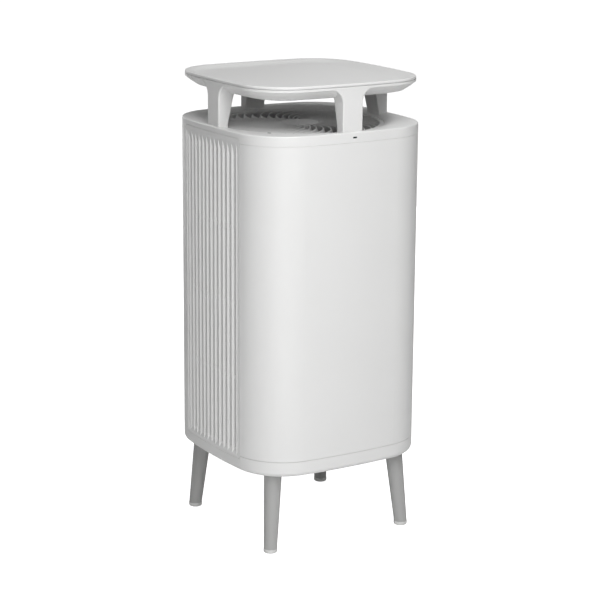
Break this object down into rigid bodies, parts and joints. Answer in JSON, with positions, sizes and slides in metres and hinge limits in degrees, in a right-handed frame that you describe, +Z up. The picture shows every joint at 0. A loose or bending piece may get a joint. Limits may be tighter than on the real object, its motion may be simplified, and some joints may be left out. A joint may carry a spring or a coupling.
{
  "type": "air purifier",
  "caption": "Square free-standing air purifier with round corners, ribbed side covers, a swirl grille on top under a raised tray table, and splayed round legs.",
  "frame": {"origin": "on the floor under the middle of the housing", "axes": "+Z up, front towards -Y, side covers towards -X and +X"},
  "size_m": [0.3, 0.3, 0.683],
  "materials": {
    "white_plastic": "satin moulded white",
    "table_white": "satin moulded white, fine texture",
    "grille_white": "satin moulded off-white",
    "leg_grey": "painted grey, satin",
    "foot_white": "matt light rubber",
    "chassis_grey": "moulded light grey",
    "fan_grey": "moulded dark grey",
    "motor_black": "moulded black",
    "steel": "zinc-plated steel",
    "board_green": "solder-masked board",
    "lens_dark": "smoked lens",
    "filter_frame_white": "coated board",
    "filter_paper": "non-woven pleats",
    "tab_fabric": "woven tape",
    "gasket_foam": "closed-cell foam"
  },
  "bodies": {
    "housing": {"base_grille": "grille_white", "base_pan": "white_plastic", "base_screws": "steel", "board_standoffs": "chassis_grey", "bottom_bearings": "steel", "bottom_fan_deck": "chassis_grey", "bottom_ioniser": "motor_black", "bottom_motor": "motor_black", "bottom_motor_mount": "chassis_grey", "cap_screws": "steel", "foot_pads": "foot_white", "frame_screws": "steel", "front_panel": "white_plastic", "left_side_frame": "chassis_grey", "leg_front_left": "leg_grey", "leg_front_right": "leg_grey", "leg_rear_left": "leg_grey", "leg_rear_right": "leg_grey", "leg_studs": "steel", "light_pipes": "lens_dark", "main_board": "board_green", "particle_sensor": "motor_black", "power_inlet": "motor_black", "power_supply": "steel", "rear_panel": "white_plastic", "right_side_frame": "chassis_grey", "status_window": "lens_dark", "table_frame": "white_plastic", "table_screws": "steel", "table_top": "table_white", "top_bearings": "steel", "top_cap": "white_plastic", "top_fan_deck": "chassis_grey", "top_grille": "grille_white", "top_ioniser": "motor_black", "top_motor": "motor_black", "top_motor_mount": "chassis_grey", "touch_board": "board_green"},
    "left_cover": {"left_cover": "white_plastic"},
    "right_cover": {"right_cover": "white_plastic"},
    "left_filter": {"left_filter_frame": "filter_frame_white", "left_filter_media": "filter_paper", "left_filter_gasket": "gasket_foam", "left_filter_tab": "tab_fabric"},
    "right_filter": {"right_filter_frame": "filter_frame_white", "right_filter_media": "filter_paper", "right_filter_gasket": "gasket_foam", "right_filter_tab": "tab_fabric"},
    "top_fan": {"top_impeller": "fan_grey", "top_shaft": "steel", "top_shaft_nut": "steel"},
    "bottom_fan": {"bottom_impeller": "fan_grey", "bottom_shaft": "steel", "bottom_shaft_nut": "steel"}
  },
  "joints": [
    {"name": "left_cover_slide", "type": "slide", "parent": "housing", "child": "left_cover", "axis": [-1, 0, 0], "range_m": [0, 0.26]},
    {"name": "right_cover_slide", "type": "slide", "parent": "housing", "child": "right_cover", "axis": [1, 0, 0], "range_m": [0, 0.26]},
    {"name": "left_filter_slide", "type": "slide", "parent": "housing", "child": "left_filter", "axis": [-1, 0, 0], "range_m": [0, 0.13]},
    {"name": "right_filter_slide", "type": "slide", "parent": "housing", "child": "right_filter", "axis": [1, 0, 0], "range_m": [0, 0.13]},
    {"name": "top_fan_spin", "type": "hinge", "parent": "housing", "child": "top_fan", "pos_m": [0, 0, 0.569], "axis": [0, 0, 1], "continuous": true},
    {"name": "bottom_fan_spin", "type": "hinge", "parent": "housing", "child": "bottom_fan", "pos_m": [0, 0, 0.1735], "axis": [0, 0, 1], "continuous": true}
  ],
  "couplings": [
    {"joint": "left_filter_slide", "follows": "left_cover_slide", "ratio": 0.5},
    {"joint": "right_filter_slide", "follows": "right_cover_slide", "ratio": 0.5}
  ]
}
